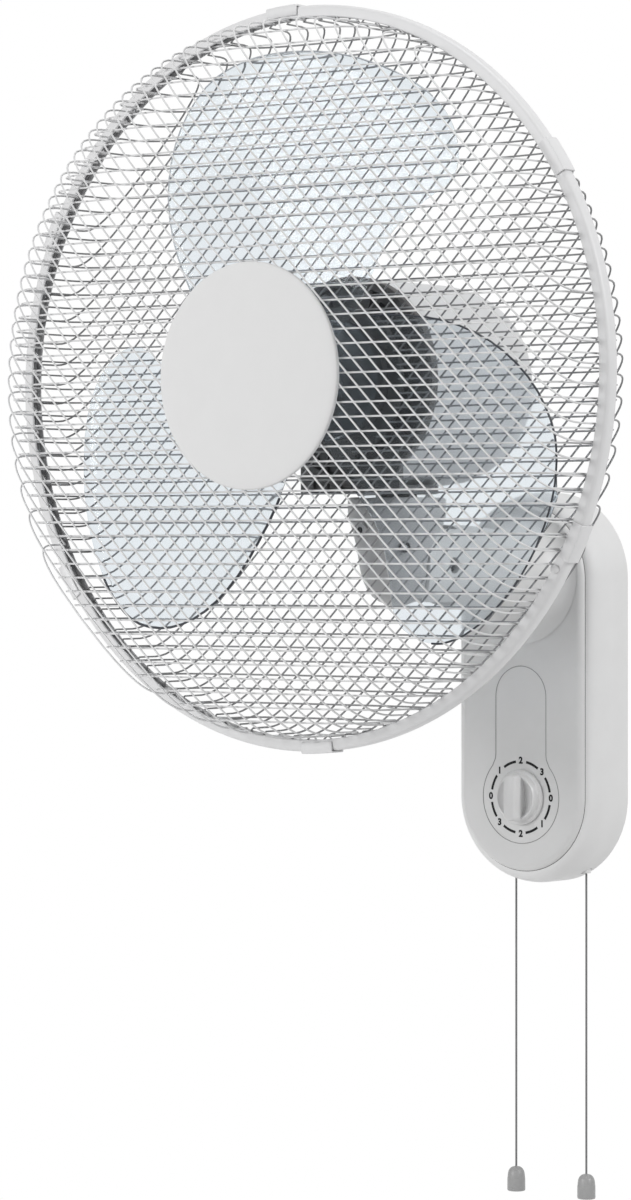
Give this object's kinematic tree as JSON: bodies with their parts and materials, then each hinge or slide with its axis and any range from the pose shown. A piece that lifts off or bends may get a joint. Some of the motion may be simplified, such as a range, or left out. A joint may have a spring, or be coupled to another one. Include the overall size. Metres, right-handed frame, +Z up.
{
  "type": "wall mounted fan",
  "caption": "Wall mounted oscillating fan: pill shaped wall box with dial and pull cords, short arm, tilting and swinging head, wide blades in a wire mesh guard.",
  "frame": {"origin": "centre of the mounting plate's wall face, midway between the two end arcs of the wall box", "axes": "+Z up, +Y into the wall, the fan blows towards -Y, +X to the right of someone facing the fan"},
  "size_m": [0.44, 0.3153, 0.7347],
  "materials": {
    "white_plastic": "satin moulded",
    "panel_plastic": "fine matt",
    "zinc_steel": "zinc plated",
    "black_plastic": "matt",
    "knob_plastic": "satin",
    "cord_grey": "braided",
    "bell_plastic": "satin",
    "neck_plastic": "satin",
    "dark_plastic": "moulded",
    "cast_aluminium": "cast",
    "cover_plastic": "satin",
    "core_steel": "laminated",
    "copper_wire": "enamelled",
    "blade_plastic": "translucent pale blue",
    "guard_wire": "powder coated",
    "ring_plastic": "satin",
    "disc_plastic": "satin"
  },
  "bodies": {
    "wall_box": {"front_housing": "white_plastic", "control_panel": "panel_plastic", "mounting_plate": "zinc_steel", "rotary_switch": "black_plastic", "pull_switch_left": "black_plastic", "pull_switch_right": "black_plastic", "cord_eyelet_left": "white_plastic", "cord_eyelet_right": "white_plastic", "motor_capacitor": "white_plastic", "terminal_block": "white_plastic", "support_arm": "white_plastic", "tilt_bolt": "zinc_steel", "tilt_nut": "zinc_steel", "arm_screw_left": "zinc_steel", "arm_screw_right": "zinc_steel"},
    "knob": {"control_knob": "knob_plastic", "switch_shaft": "zinc_steel"},
    "left_pull": {"pull_cord_left": "cord_grey", "cord_bell_left": "bell_plastic"},
    "right_pull": {"pull_cord_right": "cord_grey", "cord_bell_right": "bell_plastic"},
    "neck": {"neck_housing": "neck_plastic", "pan_washer": "black_plastic"},
    "head": {"motor_bracket_front": "dark_plastic", "motor_bracket_rear": "cast_aluminium", "motor_cover": "cover_plastic", "stator_core": "core_steel", "winding_front": "copper_wire", "winding_rear": "copper_wire", "bearing_front": "core_steel", "bearing_rear": "core_steel", "front_guard": "guard_wire", "rear_guard": "guard_wire", "clamp_ring": "ring_plastic", "ring_clip_1": "ring_plastic", "ring_clip_2": "ring_plastic", "ring_clip_3": "ring_plastic", "ring_clip_4": "ring_plastic", "ring_clip_5": "ring_plastic", "ring_clip_6": "ring_plastic", "centre_disc": "disc_plastic", "guard_nut": "white_plastic", "swing_motor": "cast_aluminium"},
    "rotor": {"motor_shaft": "core_steel", "rotor_core": "core_steel", "fan_blade": "blade_plastic", "blade_nut": "blade_plastic"},
    "crank": {"swing_crank": "white_plastic"},
    "link": {"swing_link": "black_plastic"}
  },
  "joints": [
    {"name": "tilt", "type": "hinge", "parent": "wall_box", "child": "neck", "pos_m": [0, -0.1435, 0.078], "axis": [1, 0, 0], "range_deg": [-15, 30]},
    {"name": "swing", "type": "hinge", "parent": "neck", "child": "head", "pos_m": [0, -0.1695, 0.12], "axis": [0, 0, 1], "range_deg": [-35, 35]},
    {"name": "rotor_spin", "type": "hinge", "parent": "head", "child": "rotor", "pos_m": [0, -0.27, 0.188], "axis": [0, 1, 0], "continuous": true},
    {"name": "crank_turn", "type": "hinge", "parent": "head", "child": "crank", "pos_m": [0, -0.124, 0.13], "axis": [0, 0, 1], "range_deg": [-64, 64]},
    {"name": "link_turn", "type": "hinge", "parent": "neck", "child": "link", "pos_m": [-0.0155, -0.1695, 0.1145], "axis": [0, 0, 1], "range_deg": [-36, 36]},
    {"name": "knob_turn", "type": "hinge", "parent": "wall_box", "child": "knob", "pos_m": [0, -0.045, -0.069], "axis": [0, 1, 0], "continuous": true},
    {"name": "left_pull_travel", "type": "slide", "parent": "wall_box", "child": "left_pull", "axis": [0, 0, -1], "range_m": [0, 0.014], "stiffness_N_per_m": 200, "springref_m": -0.01},
    {"name": "right_pull_travel", "type": "slide", "parent": "wall_box", "child": "right_pull", "axis": [0, 0, -1], "range_m": [0, 0.014], "stiffness_N_per_m": 200, "springref_m": -0.01}
  ],
  "couplings": [
    {"joint": "crank_turn", "follows": "swing", "ratio": -1.79},
    {"joint": "link_turn", "follows": "swing", "ratio": 1}
  ]
}
